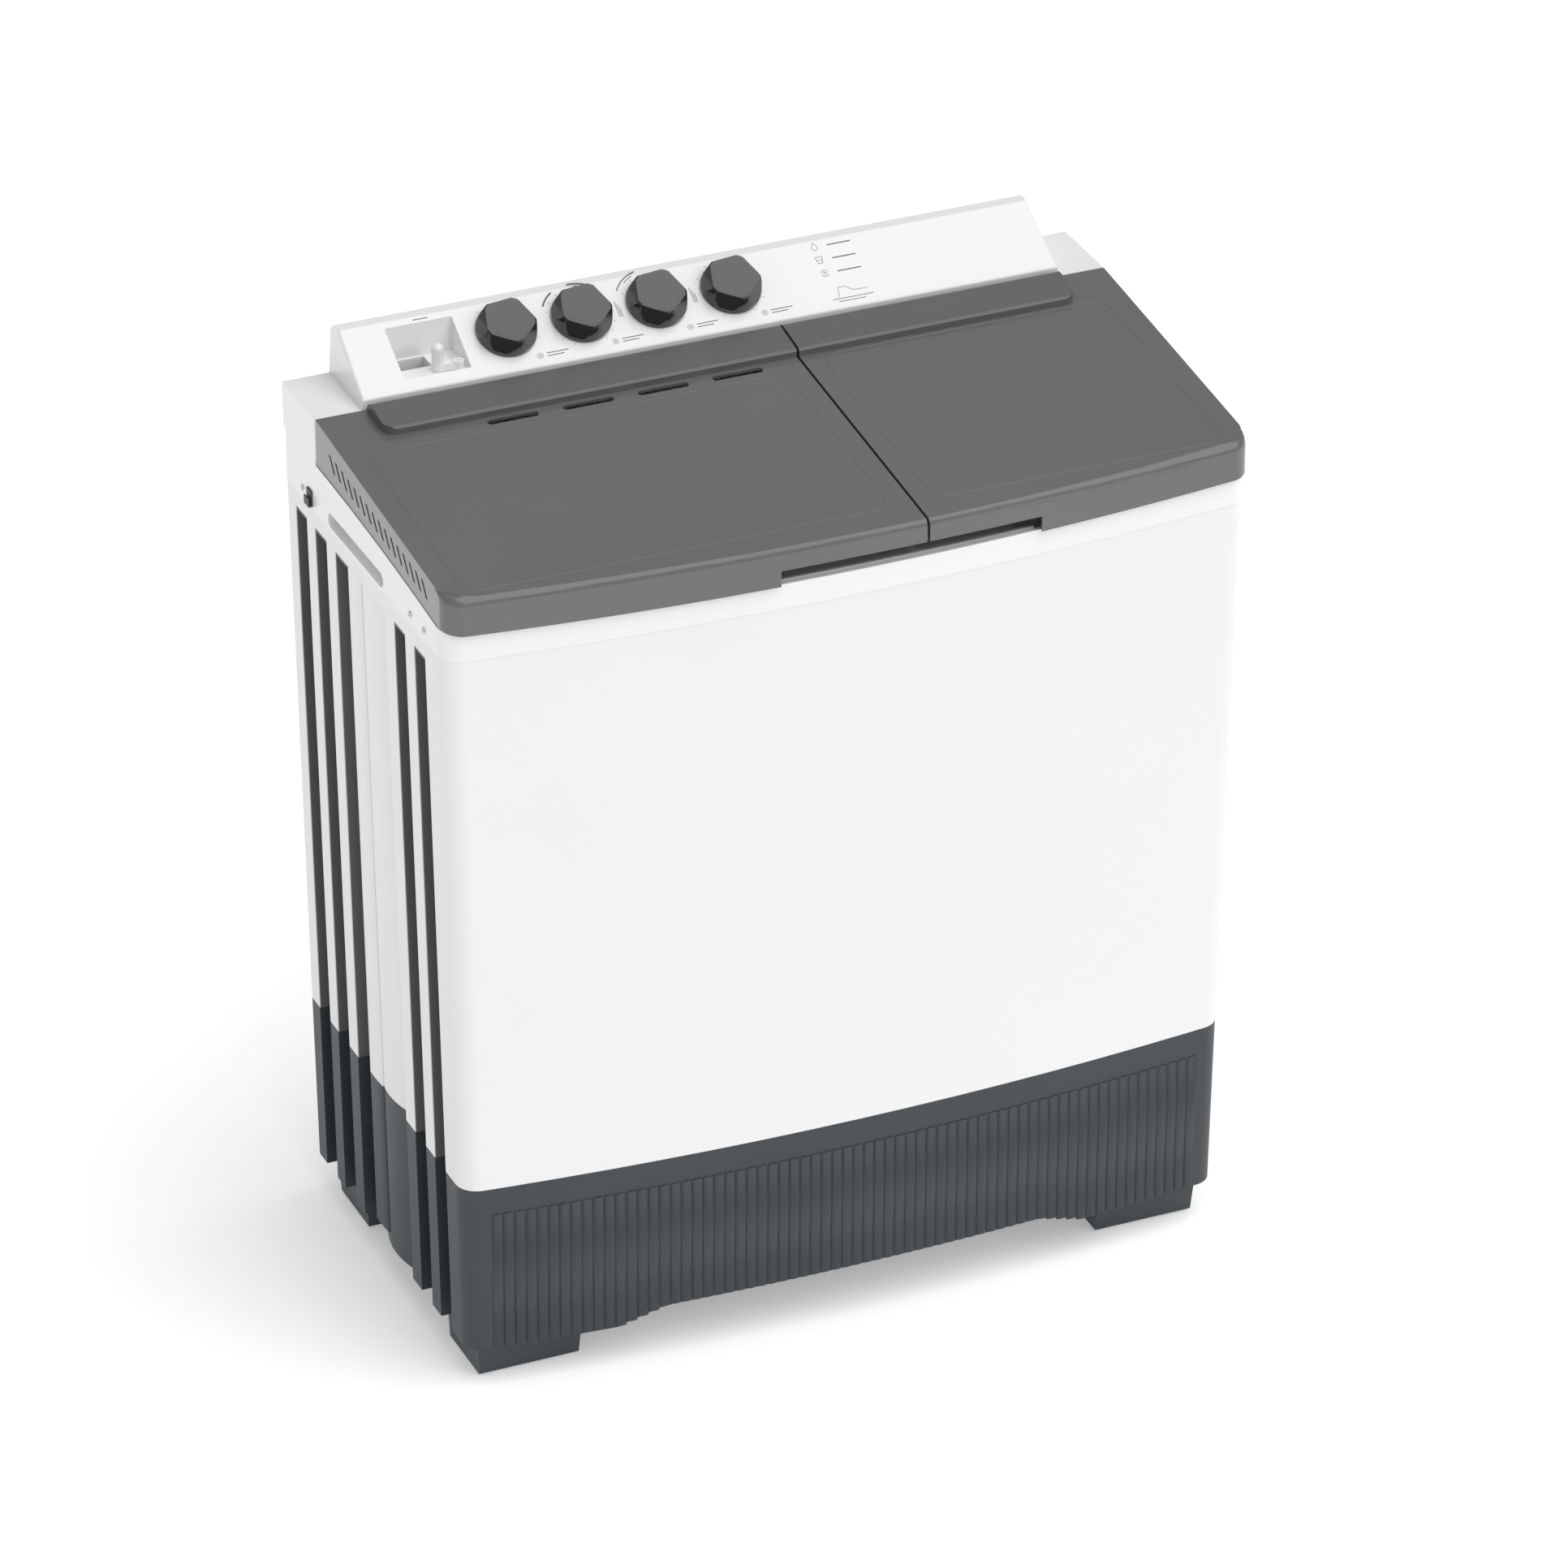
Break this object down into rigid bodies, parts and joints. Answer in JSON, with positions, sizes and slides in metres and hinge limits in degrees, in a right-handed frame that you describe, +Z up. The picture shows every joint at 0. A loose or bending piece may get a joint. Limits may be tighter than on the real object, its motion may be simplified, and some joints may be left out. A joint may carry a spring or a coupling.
{
  "type": "twin tub washing machine",
  "caption": "Twin tub washer: dark lidded wash and spin tubs in a white cabinet with grooved sides, sloping knob console and dark plinth base.",
  "frame": {"origin": "on the floor, under the middle of the machine's outer box", "axes": "+Z up, +Y towards the back panel, +X towards the spin tub; the user stands on the -Y side"},
  "size_m": [0.9076, 0.495, 1.0562],
  "materials": {
    "cabinet_white": "smooth satin white",
    "cover_white": "smooth gloss white",
    "console_white": "smooth gloss white",
    "tub_white": "moulded, satin",
    "lid_smoke": "smoke grey, polished",
    "strip_smoke": "smoke grey, satin",
    "base_slate": "fine grained slate grey",
    "groove_grey": "fine grained dark grey",
    "knob_graphite": "polished graphite with a satin face",
    "rubber": "matt",
    "screw_steel": "zinc plated",
    "shaft_steel": "turned and ground",
    "galvanised": "galvanised sheet",
    "motor_paint": "black enamel over a pressed shell",
    "aluminium": "die cast",
    "basket_plastic": "pale blue grey, moulded",
    "pulsator_plastic": "pale blue grey, moulded",
    "mechanism_plastic": "natural nylon",
    "filter_plastic": "pale blue grey",
    "panel_sheet": "powder coated white sheet"
  },
  "bodies": {
    "cabinet": {"base": "base_slate", "foot_pads": "rubber", "cabinet_shell": "cabinet_white", "side_strips": "groove_grey", "top_cover": "cover_white", "top_cover_screws": "screw_steel", "console_housing": "console_white", "back_panel": "panel_sheet", "rear_screws": "screw_steel", "wash_tub": "tub_white", "spin_outer_tub": "tub_white", "agitator_housing": "aluminium", "motor_bracket": "galvanised", "drive_bolts": "screw_steel", "wash_motor": "motor_paint", "drive_belt": "rubber", "lint_filter": "filter_plastic", "overflow_cover": "filter_plastic", "drain_valve": "mechanism_plastic", "drain_hose": "rubber", "spin_hose": "rubber", "drain_outlet": "base_slate", "capacitor": "mechanism_plastic", "capacitor_clip": "galvanised", "cord_gland": "rubber", "wash_timer": "mechanism_plastic", "spin_timer": "mechanism_plastic", "wash_mode_switch": "mechanism_plastic", "drain_selector": "mechanism_plastic", "inlet_chute": "tub_white", "hose_hook": "base_slate", "lid_switch": "mechanism_plastic", "shaft_boot": "rubber", "spin_motor": "motor_paint", "spin_motor_plate": "galvanised", "suspension_springs": "screw_steel"},
    "wash_lid_body": {"wash_lid": "lid_smoke", "wash_lid_cover": "strip_smoke"},
    "spin_lid_body": {"spin_lid": "lid_smoke", "spin_lid_cover": "strip_smoke"},
    "wash_mode_knob": {"knob_wash_mode": "knob_graphite", "shaft_wash_mode": "shaft_steel"},
    "wash_timer_knob": {"knob_wash_timer": "knob_graphite", "shaft_wash_timer": "shaft_steel"},
    "drain_knob": {"knob_drain": "knob_graphite", "shaft_drain": "shaft_steel"},
    "spin_timer_knob": {"knob_spin_timer": "knob_graphite", "shaft_spin_timer": "shaft_steel"},
    "inlet_lever": {"inlet_selector": "console_white"},
    "agitator": {"pulsator": "pulsator_plastic", "pulsator_screw": "screw_steel", "agitator_shaft": "shaft_steel", "driven_pulley": "aluminium"},
    "wash_rotor": {"wash_motor_rotor": "shaft_steel", "motor_pulley": "aluminium"},
    "spinner": {"spin_basket": "basket_plastic", "spin_shaft": "shaft_steel"},
    "drain_plunger": {"drain_plug": "rubber", "drain_rod": "mechanism_plastic"},
    "brake": {"brake_lever": "galvanised"}
  },
  "joints": [
    {"name": "wash_lid_hinge", "type": "hinge", "parent": "cabinet", "child": "wash_lid_body", "pos_m": [-0.19, 0.1305, 0.986], "axis": [-1, 0, 0], "range_deg": [0, 95]},
    {"name": "spin_lid_hinge", "type": "hinge", "parent": "cabinet", "child": "spin_lid_body", "pos_m": [0.26, 0.1305, 0.986], "axis": [-1, 0, 0], "range_deg": [0, 95]},
    {"name": "wash_mode_turn", "type": "hinge", "parent": "cabinet", "child": "wash_mode_knob", "pos_m": [-0.2195, 0.18712, 1.02414], "axis": [0, 0.5228, -0.8524], "range_deg": [0, 90]},
    {"name": "wash_timer_turn", "type": "hinge", "parent": "cabinet", "child": "wash_timer_knob", "pos_m": [-0.1345, 0.18712, 1.02414], "axis": [0, 0.5228, -0.8524], "range_deg": [0, 300]},
    {"name": "drain_turn", "type": "hinge", "parent": "cabinet", "child": "drain_knob", "pos_m": [-0.0495, 0.18712, 1.02414], "axis": [0, 0.5228, -0.8524], "range_deg": [0, 90]},
    {"name": "spin_timer_turn", "type": "hinge", "parent": "cabinet", "child": "spin_timer_knob", "pos_m": [0.0355, 0.18712, 1.02414], "axis": [0, 0.5228, -0.8524], "range_deg": [0, 300]},
    {"name": "inlet_lever_swing", "type": "hinge", "parent": "cabinet", "child": "inlet_lever", "pos_m": [-0.28, 0.16929, 1.001], "axis": [0, 0, -1], "range_deg": [0, 55]},
    {"name": "pulsator_spin", "type": "hinge", "parent": "cabinet", "child": "agitator", "pos_m": [-0.185, -0.0345, 0.45], "axis": [0, 0, 1], "continuous": true},
    {"name": "wash_motor_spin", "type": "hinge", "parent": "cabinet", "child": "wash_rotor", "pos_m": [-0.005, 0.0465, 0.37], "axis": [0, 0, 1], "continuous": true},
    {"name": "spin_basket_spin", "type": "hinge", "parent": "cabinet", "child": "spinner", "pos_m": [0.245, -0.0285, 0.5], "axis": [0, 0, 1], "continuous": true},
    {"name": "drain_plug_lift", "type": "slide", "parent": "cabinet", "child": "drain_plunger", "axis": [0, 0, 1], "range_m": [0, 0.012]},
    {"name": "brake_lever_swing", "type": "hinge", "parent": "cabinet", "child": "brake", "pos_m": [0.153, 0.0335, 0.357], "axis": [0, 0, -1], "range_deg": [0, 1.71]}
  ],
  "couplings": [
    {"joint": "wash_motor_spin", "follows": "pulsator_spin", "ratio": 3.5714},
    {"joint": "drain_plug_lift", "follows": "drain_turn", "m_per_rad": 0.007639},
    {"joint": "brake_lever_swing", "follows": "spin_lid_hinge", "ratio": 0.018}
  ]
}
